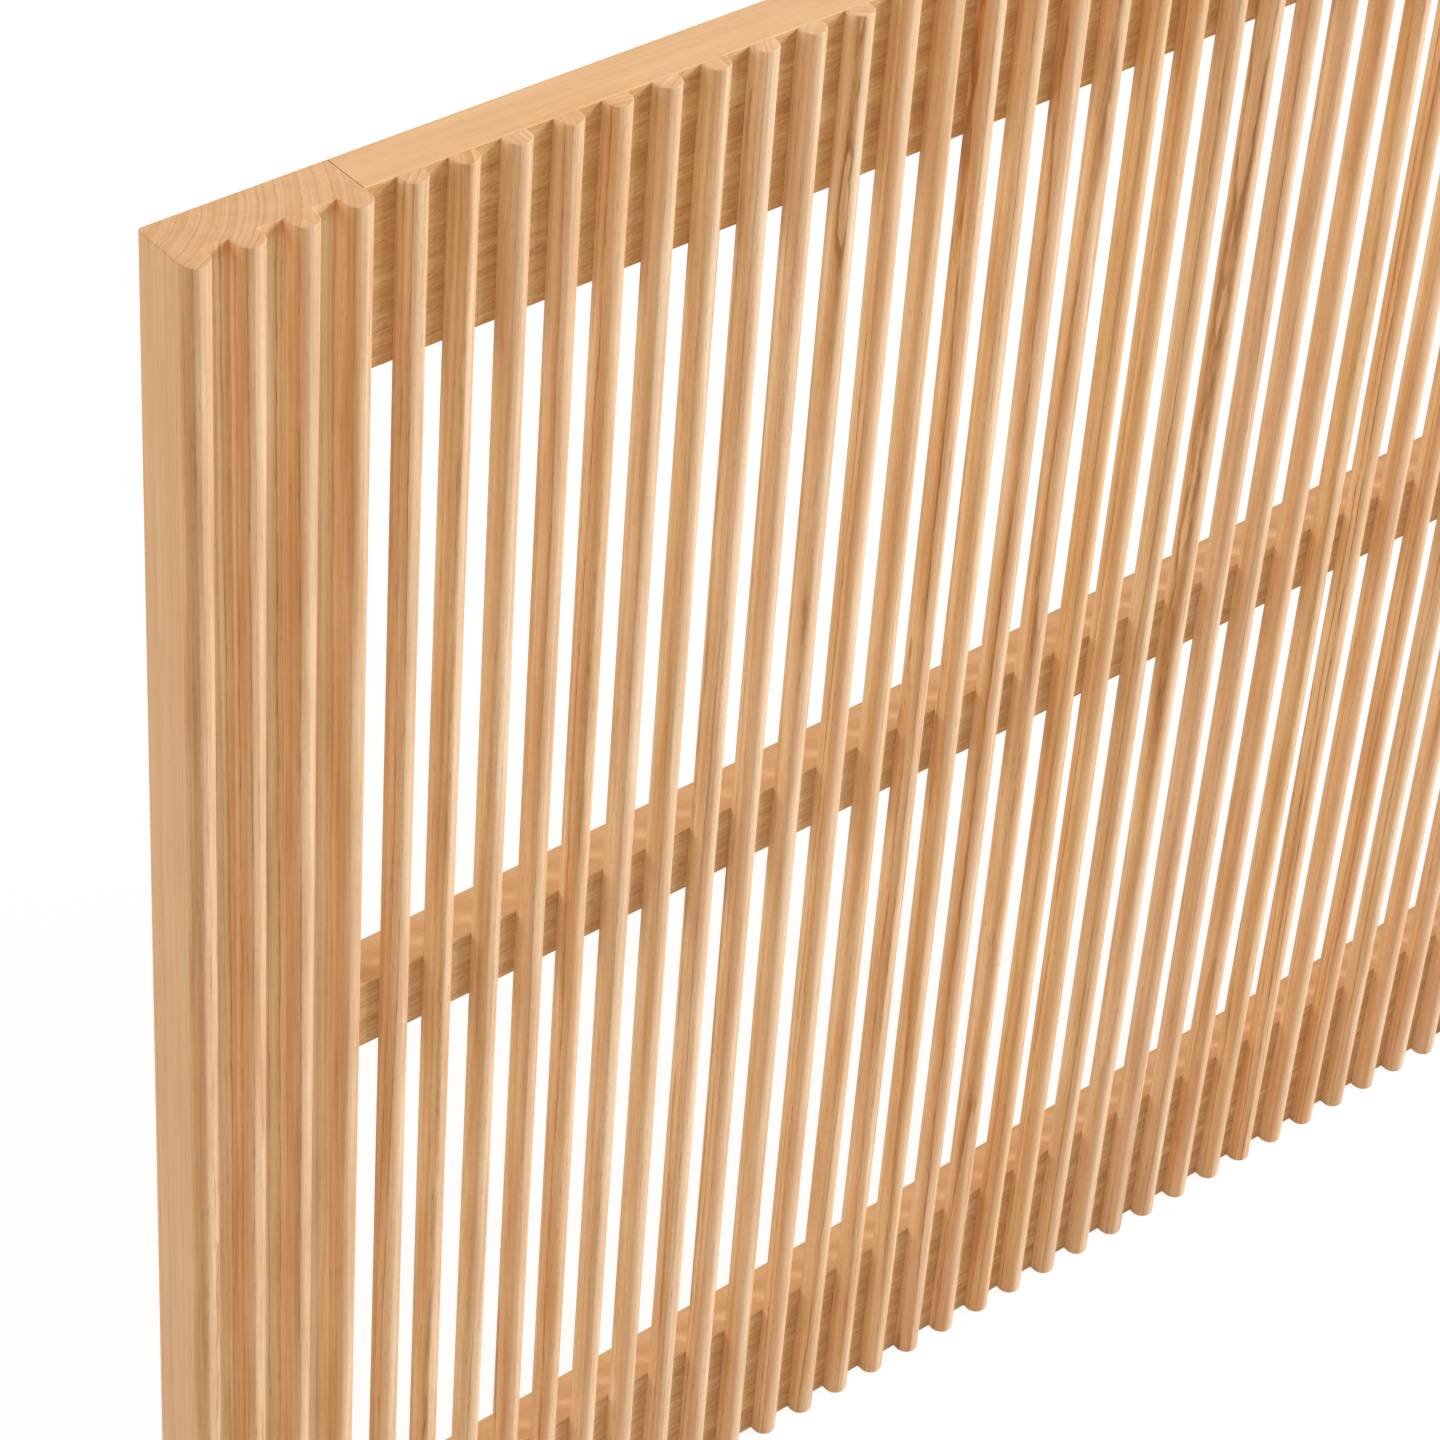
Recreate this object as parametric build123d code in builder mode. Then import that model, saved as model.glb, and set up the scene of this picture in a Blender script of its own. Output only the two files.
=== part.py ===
# Slatted wooden headboard, in millimetres.
# Two wide stiles and three rails make a flat frame. Round-nosed slats stand upright on the front
# face of the rails, and round-nosed ridges of nearly the same width are cut into the front of both
# stiles, so that the row of noses runs on from edge to edge. Dowels join the rails to the stiles,
# screws driven from behind hold the slats, and threaded inserts in the backs of the stiles take
# the bolts that fix the headboard to a wall or to a bed.
# +X is to the right as seen from the front, +Y from front to back, and +Z up. The origin is on
# the floor, in the middle of the width and of the depth.

import math
import os

from build123d import *

# Slats: strips with a full-radius nose, flat side on the rails
slat_width = 17.0
slat_depth = 12.0
slat_pitch = 34.0
slat_count = 42
end_gap = 19.5

# Ridges along the front of each stile, a little deeper than the slats and a little closer
ridge_width = 18.0
ridge_depth = 14.6
ridge_pitch = 33.5
ridge_count = 4

# Frame
overall_height = 1174.0
frame_depth = 33.5
top_rail_height = 116.0
mid_rail_height = 50.0
bottom_rail_height = 122.0

# Edges, rounded by sanding
edge_ease = 1.2
end_ease = 1.0
stile_corner_round = 4.0

# Dowels between the rails and the stiles
dowel_diameter = 10.0
dowel_length = 60.0
dowel_chamfer = 1.0
dowel_edge_distance = 28.0
mid_dowel_edge_distance = 13.0
dowel_end_room = 1.0
glue_gap = 0.05

# Screws that hold the slats, driven from behind
screw_diameter = 4.0
screw_head_diameter = 8.0
screw_head_rim = 0.3
screw_tip_length = 3.0
screw_head_sink = 0.5
screw_hole_clearance = 0.25
countersink_angle = 90.0
slat_skin = 5.0
pilot_clearance = 0.05
drive_width = 1.1
drive_span = 4.4
drive_depth = 1.4

# Threaded inserts for the fixing bolts
insert_bore = 8.0
insert_diameter = 12.0
insert_length = 20.0
insert_flange_diameter = 16.0
insert_flange_thickness = 1.5
insert_clearance = 0.05
insert_low_height = 250.0
insert_high_height = 950.0

# Depth: slats and ridges stand on the front plane, and everything ends at the back plane
overall_depth = frame_depth + max(ridge_depth, slat_depth)
back_plane = overall_depth / 2
front_plane = back_plane - frame_depth
frame_middle = (front_plane + back_plane) / 2

# Width: the rails are as long as the row of slats and the gap at each end of it
stile_width = (ridge_count - 1) * ridge_pitch + ridge_width
rail_length = (slat_count - 1) * slat_pitch + slat_width + 2 * end_gap
stile_centre = (rail_length + stile_width) / 2
slat_places = [(n - (slat_count - 1) / 2) * slat_pitch for n in range(slat_count)]
ridge_places = [(n - (ridge_count - 1) / 2) * ridge_pitch for n in range(ridge_count)]

# Height: the middle rail is halfway between the other two
open_height = overall_height - top_rail_height - bottom_rail_height
mid_rail_level = bottom_rail_height + (open_height - mid_rail_height) / 2
rails = {
    "top_rail": (overall_height - top_rail_height, top_rail_height, dowel_edge_distance),
    "mid_rail": (mid_rail_level, mid_rail_height, mid_dowel_edge_distance),
    "bottom_rail": (0, bottom_rail_height, dowel_edge_distance),
}
screw_levels = [level + height / 2 for level, height, _ in rails.values()]
dowel_levels = [
    z
    for level, height, edge_distance in rails.values()
    for z in (level + edge_distance, level + height - edge_distance)
]

# Sizes that the screws and inserts share with their holes
screw_bite = slat_depth - slat_skin
screw_length = frame_depth - screw_head_sink + screw_bite
cone_depth = (screw_head_diameter - screw_diameter) / 2 / math.tan(math.radians(countersink_angle / 2))
sink_radius = screw_head_diameter / 2 + screw_head_sink + screw_head_rim + screw_hole_clearance
insert_places = [(side * stile_centre, z) for side in (-1, 1) for z in (insert_low_height, insert_high_height)]


def facing_back(x, y, z):
    """A plane at a point, with its normal towards the back."""
    return Plane(origin=(x, y, z), x_dir=(1, 0, 0), z_dir=(0, 1, 0))


def facing_side(x, z, side):
    """A plane in the middle of the frame's depth, with its normal to the right (1) or left (-1)."""
    return Plane(origin=(x, frame_middle, z), x_dir=(0, 1, 0), z_dir=(side, 0, 0))


def nose_outline(x, width, depth):
    """Both sides and the round nose of a slat or ridge, as lines that stand on the front plane."""
    left, right = x - width / 2, x + width / 2
    shoulder = front_plane - depth + width / 2
    Line((left, front_plane), (left, shoulder))
    ThreePointArc((left, shoulder), (x, front_plane - depth), (right, shoulder))
    Line((right, shoulder), (right, front_plane))


def save(piece, name):
    """Label a finished piece and write it to its own file."""
    piece.part.label = name
    export_step(piece.part, f"parts/{name}.step")


def make_slat(x):
    """One upright slat, its flat side on the rails, with a blind hole for each screw."""
    with BuildPart() as slat:
        with BuildSketch(Plane.XY):
            with BuildLine():
                nose_outline(x, slat_width, slat_depth)
                Line((x + slat_width / 2, front_plane), (x - slat_width / 2, front_plane))
            make_face()
        extrude(amount=overall_height)
        fillet(slat.edges().filter_by(GeomType.CIRCLE), radius=end_ease)
        with Locations(*[facing_back(x, front_plane, z) for z in screw_levels]):
            Hole(radius=screw_diameter / 2 + pilot_clearance, depth=screw_bite + pilot_clearance)
    return slat


def make_rail(level, height):
    """A straight board between the stiles, with a countersunk hole behind each slat."""
    middle = level + height / 2
    ends = [(end, z) for end in (-1, 1) for z in dowel_levels if level < z < level + height]
    with BuildPart() as rail:
        with BuildSketch(Plane.YZ.offset(-rail_length / 2)):
            with Locations((frame_middle, middle)):
                RectangleRounded(frame_depth, height, edge_ease)
        extrude(amount=rail_length)
        with Locations(*[facing_back(x, back_plane, middle) for x in slat_places]):
            CounterSinkHole(
                radius=screw_diameter / 2 + screw_hole_clearance,
                counter_sink_radius=sink_radius,
                depth=frame_depth,
                counter_sink_angle=countersink_angle,
            )
        with Locations(*[facing_side(end * rail_length / 2, z, end) for end, z in ends]):
            Hole(radius=dowel_diameter / 2 + glue_gap, depth=dowel_length / 2 + dowel_end_room)
    return rail


def make_stile(side):
    """A wide upright with ridges along its front; side is -1 for the left one, 1 for the right."""
    middle = side * stile_centre
    left, right = middle - stile_width / 2, middle + stile_width / 2
    crests = [middle + place for place in ridge_places]
    with BuildPart() as stile:
        with BuildSketch(Plane.XY):
            with BuildLine():
                for crest in crests:
                    nose_outline(crest, ridge_width, ridge_depth)
                for crest, following in zip(crests, crests[1:]):
                    Line((crest + ridge_width / 2, front_plane), (following - ridge_width / 2, front_plane))
                Polyline((right, front_plane), (right, back_plane), (left, back_plane), (left, front_plane))
            make_face()
        extrude(amount=overall_height)
        for corner, radius in ((-side, edge_ease), (side, stile_corner_round)):
            back_edges = stile.edges().filter_by(Axis.Z).group_by(Axis.Y)[-1].sort_by(Axis.X)
            fillet(back_edges[0] if corner < 0 else back_edges[-1], radius=radius)
        fillet(stile.edges().group_by(Axis.Z)[0] + stile.edges().group_by(Axis.Z)[-1], radius=end_ease)
        inner = middle - side * stile_width / 2
        with Locations(*[facing_side(inner, z, -side) for z in dowel_levels]):
            Hole(radius=dowel_diameter / 2 + glue_gap, depth=dowel_length / 2 + dowel_end_room)
        own_places = [(x, z) for x, z in insert_places if x * side > 0]
        with Locations(*[facing_back(x, back_plane, z) for x, z in own_places]):
            CounterBoreHole(
                radius=insert_diameter / 2 + insert_clearance,
                counter_bore_radius=insert_flange_diameter / 2 + insert_clearance,
                counter_bore_depth=insert_flange_thickness,
                depth=insert_length + insert_clearance,
            )
    return stile


def make_dowels():
    """Beech pegs, half in a rail's end and half in the stile beside it."""
    with BuildPart() as dowels:
        for side in (-1, 1):
            starts = [facing_side(side * (rail_length - dowel_length) / 2, z, side) for z in dowel_levels]
            with BuildSketch(*starts):
                Circle(dowel_diameter / 2)
            extrude(amount=dowel_length)
        chamfer(dowels.edges().filter_by(GeomType.CIRCLE), length=dowel_chamfer)
    return dowels


def make_screws():
    """Countersunk wood screws with a cross recess, sunk just below the back of the rails."""
    head = back_plane - screw_head_sink
    tip = head - screw_length
    with BuildPart() as screw:
        with BuildSketch(Plane.XY):
            with BuildLine():
                Polyline(
                    (0, head),
                    (screw_head_diameter / 2, head),
                    (screw_head_diameter / 2, head - screw_head_rim),
                    (screw_diameter / 2, head - screw_head_rim - cone_depth),
                    (screw_diameter / 2, tip + screw_tip_length),
                    (0, tip),
                    close=True,
                )
            make_face()
        revolve(axis=Axis.Y)
        with BuildSketch(facing_back(0, head, 0)):
            Rectangle(drive_span, drive_width)
            Rectangle(drive_width, drive_span)
        extrude(amount=-drive_depth, mode=Mode.SUBTRACT)
    with BuildPart() as screws:
        with Locations(*[(x, 0, z) for z in screw_levels for x in slat_places]):
            add(screw.part)
    return screws


def make_inserts():
    """Flanged sleeves, threaded inside, let into the backs of the stiles."""
    with BuildPart() as inserts:
        planes = [facing_back(x, back_plane, z) for x, z in insert_places]
        with BuildSketch(*planes):
            Circle(insert_diameter / 2)
        extrude(amount=-insert_length)
        with BuildSketch(*planes):
            Circle(insert_flange_diameter / 2)
        extrude(amount=-insert_flange_thickness)
        with Locations(*planes):
            Hole(radius=insert_bore / 2, depth=insert_length)
    return inserts


os.makedirs("parts", exist_ok=True)
save(make_stile(-1), "left_stile")
save(make_stile(1), "right_stile")
for rail_name, (rail_level, rail_height, _) in rails.items():
    save(make_rail(rail_level, rail_height), rail_name)
for number, slat_x in enumerate(slat_places, start=1):
    save(make_slat(slat_x), f"slat_{number:02d}")
save(make_dowels(), "rail_dowels")
save(make_screws(), "slat_screws")
save(make_inserts(), "fixing_inserts")
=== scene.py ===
# %% [markdown]
# # A slatted wooden headboard
# The object is a bed's headboard of oiled, light brown hardwood. Two wide stiles and three rails
# make the frame, and forty-two round-nosed slats stand on the front of the rails. This lesson
# dresses the construction model: it makes the stiles, rails and slats again as fine meshes with
# growth rings of their own, does the screws and inserts at the back in metal, and lights the whole
# like a studio shot.
# The first step loads the construction model. Everything below is in metres, in its frame.

import math

import bmesh
import bpy
import numpy as np
from mathutils import Matrix, Vector


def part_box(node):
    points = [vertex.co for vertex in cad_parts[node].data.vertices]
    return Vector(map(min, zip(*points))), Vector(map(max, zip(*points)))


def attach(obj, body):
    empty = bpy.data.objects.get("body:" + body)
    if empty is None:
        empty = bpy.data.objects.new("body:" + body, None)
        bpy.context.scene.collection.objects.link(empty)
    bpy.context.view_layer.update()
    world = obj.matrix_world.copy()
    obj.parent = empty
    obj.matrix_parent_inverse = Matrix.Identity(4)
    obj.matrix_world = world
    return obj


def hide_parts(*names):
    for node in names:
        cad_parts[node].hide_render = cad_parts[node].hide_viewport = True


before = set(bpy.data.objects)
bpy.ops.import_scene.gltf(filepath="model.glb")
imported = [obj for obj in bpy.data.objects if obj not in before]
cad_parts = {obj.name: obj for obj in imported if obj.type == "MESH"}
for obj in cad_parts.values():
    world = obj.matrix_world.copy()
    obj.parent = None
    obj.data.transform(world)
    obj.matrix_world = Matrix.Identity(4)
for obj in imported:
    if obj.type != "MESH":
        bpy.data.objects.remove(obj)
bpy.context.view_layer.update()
BODY = "root"

# %% [markdown]
# ## The sizes of the pieces
# A visual piece has to sit exactly where its construction piece is, so its sizes are read from the
# boxes of the nodes and not typed again. Only what a box doesn't tell, such as the width of one
# ridge of a stile, is a value of its own here.

# %% Read the sizes
MM = 0.001
RAIL_NODES = ("top_rail", "mid_rail", "bottom_rail")
RIDGE_WIDTH = 18.0 * MM
RIDGE_COUNT = 4
slat_names = sorted(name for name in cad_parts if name.removeprefix("slat_").isdigit())
first_low, first_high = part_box(slat_names[0])
last_low, last_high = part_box(slat_names[-1])
slat_count = len(slat_names)
slat_width = first_high.x - first_low.x
slat_depth = first_high.y - first_low.y
slat_start = (first_low.x + first_high.x) / 2
slat_pitch = ((last_low.x + last_high.x) / 2 - slat_start) / (slat_count - 1)
front_plane = first_high.y
stile_low, stile_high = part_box("left_stile")
overall_height = stile_high.z
back_plane = stile_high.y
frame_middle = (front_plane + back_plane) / 2
stile_width = stile_high.x - stile_low.x
ridge_depth = front_plane - stile_low.y
ridge_pitch = (stile_width - RIDGE_WIDTH) / (RIDGE_COUNT - 1)
rail_low, rail_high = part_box(RAIL_NODES[0])
rail_length = rail_high.x - rail_low.x
rail_levels = {name: tuple(corner.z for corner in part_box(name)) for name in RAIL_NODES}
screw_levels = [(low + high) / 2 for low, high in rail_levels.values()]
print("slats", slat_count, "width", round(slat_width, 4), "depth", round(slat_depth, 4))
print("stile", round(stile_width, 4), "rails", round(rail_length, 4), "height", round(overall_height, 4))

# %% [markdown]
# ## The camera
# The photograph looks down on the upper left corner with a long lens, turned a little clockwise.
# Such a view can be found by trying, or worked out from straight edges whose real direction is
# known. Here the edges were used: the slats, the rails and the flat top give the lens, the place
# and the turn. The three angles build the camera's axes one after another.

# %% Place the camera
CAMERA_PLACE = Vector((-1.9218, -1.6350, 2.4663))
CAMERA_AZIMUTH = math.radians(42.168)
CAMERA_DOWN = math.radians(38.966)
CAMERA_ROLL = math.radians(4.616)
SENSOR = 36.0
LENS = 115.376

forward = Vector((
    math.sin(CAMERA_AZIMUTH) * math.cos(CAMERA_DOWN),
    math.cos(CAMERA_AZIMUTH) * math.cos(CAMERA_DOWN),
    -math.sin(CAMERA_DOWN),
))
level_right = forward.cross(Vector((0, 0, 1))).normalized()
level_up = level_right.cross(forward)
right = math.cos(CAMERA_ROLL) * level_right + math.sin(CAMERA_ROLL) * level_up
up = math.cos(CAMERA_ROLL) * level_up - math.sin(CAMERA_ROLL) * level_right
turned_view = Matrix((right, up, -forward)).transposed().to_4x4()
camera_data = bpy.data.cameras.new("camera")
camera_data.sensor_width = SENSOR
camera_data.sensor_fit = "HORIZONTAL"
camera_data.lens = LENS
camera = bpy.data.objects.new("camera", camera_data)
camera.matrix_world = Matrix.Translation(CAMERA_PLACE) @ turned_view
bpy.context.scene.collection.objects.link(camera)
bpy.context.scene.camera = camera
print("lens", LENS, "mm, looking along", [round(part, 3) for part in forward])

# %% [markdown]
# ## Helpers for node trees
# Shaders and Geometry Nodes are both trees of nodes. The first helper makes a node, sets its
# options and fills its sockets: a socket gets a plain value, or a link if the value is another
# socket. The others are short names for sums and blends, because these trees hold many of them.
# A socket knows its tree, so the sums need no other word on where they go.

# %% Make nodes


def put(tree, kind, sockets=None, **options):
    """A new node with its options set and its inputs filled, by name or by number."""
    made = tree.nodes.new(kind)
    for option, value in options.items():
        setattr(made, option, value)
    for key, value in (sockets or {}).items():
        if isinstance(value, bpy.types.NodeSocket):
            tree.links.new(value, made.inputs[key])
        else:
            made.inputs[key].default_value = value
    return made


def tree_of(terms):
    """The tree of the first socket among the terms."""
    return next(term.id_data for term in terms if isinstance(term, bpy.types.NodeSocket))


def calc(operation, *terms):
    """The result of a sum on numbers."""
    return put(tree_of(terms), "ShaderNodeMath", dict(enumerate(terms)), operation=operation).outputs[0]


def times(value, *factors):
    """A value multiplied by each factor in turn."""
    for factor in factors:
        value = calc("MULTIPLY", value, factor)
    return value


def plus(first, second):
    """Two numbers added."""
    return calc("ADD", first, second)


def minus(first, second):
    """The second number taken from the first."""
    return calc("SUBTRACT", first, second)


def scaled(value, factor, start):
    """A start with a number of times the value on top."""
    return calc("MULTIPLY_ADD", value, factor, start)


def vector_calc(operation, *terms):
    """The result of a sum on vectors."""
    made = put(tree_of(terms), "ShaderNodeVectorMath", dict(enumerate(terms)), operation=operation)
    return made.outputs["Value" if operation == "LENGTH" else "Vector"]


def step_between(value, low, high, start=0.0, end=1.0):
    """A soft step from start to end while value goes from low to high."""
    places = {"Value": value, "From Min": low, "From Max": high, "To Min": start, "To Max": end}
    return put(value.id_data, "ShaderNodeMapRange", places, interpolation_type="SMOOTHSTEP").outputs[0]


def mix_colours(share, first, second, blend="MIX"):
    """The first colour with a share of the second mixed in."""
    places = {0: share, 6: first, 7: second}
    return put(share.id_data, "ShaderNodeMix", places, data_type="RGBA", blend_type=blend).outputs[2]


def noise(place, scale, detail, seed=None):
    """The outputs of a noise on a place; a seed makes it differ from board to board."""
    sockets = {"Vector": place, "Scale": scale, "Detail": detail}
    if seed is None:
        return put(place.id_data, "ShaderNodeTexNoise", sockets).outputs
    sockets["W"] = seed
    return put(place.id_data, "ShaderNodeTexNoise", sockets, noise_dimensions="4D").outputs


def new_group(name, kind, inputs, outputs):
    """An empty node group with named sockets; returns the tree, its inputs and its outputs."""
    group = bpy.data.node_groups.new(name, kind)
    for label, (socket, default) in inputs.items():
        made = group.interface.new_socket(name=label, in_out="INPUT", socket_type="NodeSocket" + socket)
        if default is not None:
            made.default_value = default
    for label, socket in outputs.items():
        group.interface.new_socket(name=label, in_out="OUTPUT", socket_type="NodeSocket" + socket)
    return group, group.nodes.new("NodeGroupInput").outputs, group.nodes.new("NodeGroupOutput").inputs


print("node helpers ready")

# %% [markdown]
# ## Growth rings
# Wood is a solid pattern: a trunk lays down a ring each year, and a saw cuts through them. So the
# rings are made as distances from the pith, in three dimensions, and every face of a piece shows
# its own cut: straight lines on one side, long arches on another and curved rings on the end. Each
# piece carries two attributes. "grain" is the place in the trunk, with the pith at zero and Z along
# it, and "board" is a number that shifts the noise. Three sizes of noise move the rings: a slow
# wander, a quicker one, and a fine shiver that frays their edges.

# %% Find the place in a ring
BOARD_SPREAD = 97.0
SLOW_WANDER = (6.0, 6.0, 0.9)
QUICK_WANDER = (70.0, 70.0, 15.0)
QUICK_WANDER_SIZE = 0.0020
SHIVER = (220.0, 220.0, 36.0)
SHIVER_SIZE = 0.0008
WEATHER_PACE = 0.45
WEATHER_SWING = 1.8

rings, given, result = new_group(
    "growth rings",
    "ShaderNodeTree",
    {
        "Grain": ("Vector", None),
        "Board": ("Float", 0.0),
        "Ring Width": ("Float", 0.004),
        "Wander": ("Float", 0.005),
    },
    {"Late Wood": "Float", "Ring Line": "Float", "Ring Tone": "Float"},
)
seed = times(given["Board"], BOARD_SPREAD)


def wander(stretch, size):
    """A vector that drifts through the piece, a different way in each board."""
    place = vector_calc("MULTIPLY", given["Grain"], stretch)
    centred = vector_calc("SUBTRACT", noise(place, 1.0, 2.0, seed)["Color"], (0.5, 0.5, 0.5))
    return put(rings, "ShaderNodeVectorMath", {0: centred, "Scale": size}, operation="SCALE").outputs[0]


drift = vector_calc("ADD", wander(SLOW_WANDER, given["Wander"]), wander(QUICK_WANDER, QUICK_WANDER_SIZE))
drift = vector_calc("ADD", drift, wander(SHIVER, SHIVER_SIZE))
across = vector_calc("MULTIPLY", vector_calc("ADD", given["Grain"], drift), (1.0, 1.0, 0.0))
years = calc("DIVIDE", vector_calc("LENGTH", across), given["Ring Width"])
weather = put(
    rings, "ShaderNodeTexNoise", {"W": plus(years, seed), "Scale": WEATHER_PACE, "Detail": 1.0},
    noise_dimensions="1D",
).outputs[0]
year = scaled(weather, WEATHER_SWING, years)
in_year = calc("FRACT", year)
print("rings, so far:", len(rings.nodes), "nodes")

# %% [markdown]
# ## One year's ring
# Each year starts pale, deepens into late wood and drops back at once. Some years also end in a
# thin dark line. A random number for each year sets how strong both are, so that no two rings are
# alike, and a last noise breaks the line into dashes along the grain, as open vessels do.

# %% Shade the rings
LATE_SPAN = (0.25, 0.95)
LINE_SPAN = (0.74, 0.94)
DROP_SPAN = (0.965, 1.0)
DARK_YEARS = (0.25, 0.95)
YEAR_SWING = (0.6, 0.4)
BREAKS = (300.0, 300.0, 30.0)
BREAK_SPAN = (0.38, 0.60)
BREAK_RANGE = (0.2, 1.0)

drop = step_between(in_year, *DROP_SPAN, 1.0, 0.0)
harvest = plus(calc("FLOOR", year), seed)
strength = put(rings, "ShaderNodeTexWhiteNoise", {"W": harvest}, noise_dimensions="1D").outputs["Value"]
late = times(step_between(in_year, *LATE_SPAN), drop, scaled(strength, *YEAR_SWING))
dashes = noise(vector_calc("MULTIPLY", given["Grain"], BREAKS), 1.0, 1.0, harvest)[0]
line = times(step_between(in_year, *LINE_SPAN), drop, step_between(strength, *DARK_YEARS))
line = times(line, step_between(dashes, *BREAK_SPAN, *BREAK_RANGE))
rings.links.new(late, result["Late Wood"])
rings.links.new(line, result["Ring Line"])
rings.links.new(weather, result["Ring Tone"])
print("growth rings:", len(rings.nodes), "nodes")

# %% [markdown]
# ## Fibres and pores
# Between the rings the surface shows what the wood is made of: long fibres that shift the tone in
# fine streaks, short dark dashes where a vessel was cut open, and still shorter flecks where a ray
# comes up at a slant. All are noise that is stretched along the grain, and the flecks' grain is
# turned by an angle first. On an end the same stretched noise is cut across, so it turns into fine
# dots, as it does in real wood.

# %% Build the group for fibres
STREAKS = {
    "Bands": ((120.0, 120.0, 8.0), 2.0),
    "Broad": ((420.0, 420.0, 6.0), 3.0),
    "Fine": ((1400.0, 1400.0, 14.0), 2.0),
}
PORE_STREAKS = (2000.0, 2000.0, 70.0)
PORE_SPAN = (0.58, 0.72)
FLECK_STREAKS = (900.0, 900.0, 190.0)
FLECK_SPAN = (0.48, 0.66)

fibres, given, result = new_group(
    "fibres",
    "ShaderNodeTree",
    {"Grain": ("Vector", None), "Board": ("Float", 0.0), "Slant": ("Float", 0.1)},
    {"Bands": "Float", "Broad": "Float", "Fine": "Float", "Pores": "Float", "Flecks": "Float"},
)
seed = times(given["Board"], BOARD_SPREAD)


def streaks(stretch, detail, place):
    """Noise between 0 and 1, drawn out along the last axis of a place."""
    return noise(vector_calc("MULTIPLY", place, stretch), 1.0, detail, seed)[0]


for name, (stretch, detail) in STREAKS.items():
    fibres.links.new(streaks(stretch, detail, given["Grain"]), result[name])
pores = streaks(PORE_STREAKS, 1.0, given["Grain"])
slope = {"Vector": given["Grain"], "Angle": given["Slant"]}
slanted = put(fibres, "ShaderNodeVectorRotate", slope, rotation_type="X_AXIS").outputs[0]
flecks = streaks(FLECK_STREAKS, 2.0, slanted)
fibres.links.new(step_between(pores, *PORE_SPAN), result["Pores"])
fibres.links.new(step_between(flecks, *FLECK_SPAN), result["Flecks"])
print("fibres:", len(fibres.nodes), "nodes")

# %% [markdown]
# ## The oiled finish and its painted light
# Colour is painted with light and shade by place. The flanks of a nose get a painted shade, the
# crest a painted highlight that also calms its figure and ring lines, and a groove painted shading
# of its own, lighter in a stile's grooves and darker on a rail's front.
# The attribute "crest" tells the finish where it is: 0 in a groove, 1 on top of a nose, and more
# than that on the flat outer faces, where the figure is quieter. The attribute "end" is 1 on the
# sawn ends, where streaks turn into dots and fade. This group gives out a colour, a roughness and
# a height, so each material keeps its own shader. The first half sets the wood's colours with the
# painted highlight and groove shading.

# %% Start the group for oiled wood
GROOVE_SHADING_FALL = (0.35, 0.65)
HIGHLIGHT_RISE = (0.94, 1.0)
CREST_END = (1.2, 1.4)
CREST_CALM = 0.4
QUIET_FACE = 0.35
BAND_SPAN = (0.46, 0.60)

oiled, given, result = new_group(
    "oiled wood",
    "ShaderNodeTree",
    {
        "Board": ("Float", 0.0),
        "Crest": ("Float", 1.0),
        "End": ("Float", 0.0),
        "Late Wood": ("Float", 0.0),
        "Ring Line": ("Float", 0.0),
        "Ring Tone": ("Float", 0.5),
        "Bands": ("Float", 0.5),
        "Broad": ("Float", 0.5),
        "Fine": ("Float", 0.5),
        "Pores": ("Float", 0.0),
        "Flecks": ("Float", 0.0),
        "Early Colour": ("Color", (0.88, 0.560, 0.325, 1.0)),
        "Late Colour": ("Color", (0.73, 0.385, 0.145, 1.0)),
        "Line Colour": ("Color", (0.33, 0.130, 0.040, 1.0)),
        "Painted Highlight Colour": ("Color", (0.88, 0.580, 0.350, 1.0)),
        "Painted Groove Shading": ("Color", (0.97, 0.755, 0.495, 1.0)),
        "Painted Flank Shade Colour": ("Color", (0.97, 0.86, 0.68, 1.0)),
        "Painted Flank Shade Depth": ("Float", 0.5),
        "Fleck Strength": ("Float", 0.1),
        "Band Strength": ("Float", 0.3),
        "Figure": ("Float", 0.6),
        "Line Strength": ("Float", 0.7),
        "Board Change": ("Float", 0.1),
    },
    {"Colour": "Color", "Roughness": "Float", "Height": "Float"},
)
crest = given["Crest"]
# Painted light by place: a painted highlight on the crest, painted groove shading below it.
painted_crest_highlight = times(step_between(crest, *HIGHLIGHT_RISE), step_between(crest, *CREST_END, 1.0, 0.0))
painted_groove_shading = step_between(crest, *GROOVE_SHADING_FALL, 1.0, 0.0)
colour = mix_colours(painted_groove_shading, given["Early Colour"], given["Painted Groove Shading"])
colour = mix_colours(painted_crest_highlight, colour, given["Painted Highlight Colour"])
quiet = calc("MAXIMUM", step_between(crest, *CREST_END, 1.0, QUIET_FACE), given["End"])
band = step_between(given["Ring Tone"], *BAND_SPAN)
late_share = scaled(band, given["Band Strength"], times(given["Late Wood"], given["Figure"]))
late_share = times(late_share, scaled(painted_crest_highlight, -CREST_CALM, quiet))
colour = mix_colours(late_share, colour, given["Late Colour"])
print("oiled wood, so far:", len(oiled.nodes), "nodes")

# %% [markdown]
# ## Tone, lines and gloss
# All the streaks are gathered into one tone. Where wood under oil gets darker it also gets richer,
# because blue fades before red, so a plain multiplication would look grey. Only a part of the
# tone therefore dims the colour, and the rest raises it to a power. Ring lines, pores and flecks
# come on top in the darkest colour. Each board is thrown its own tone, hue and richness.

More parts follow.
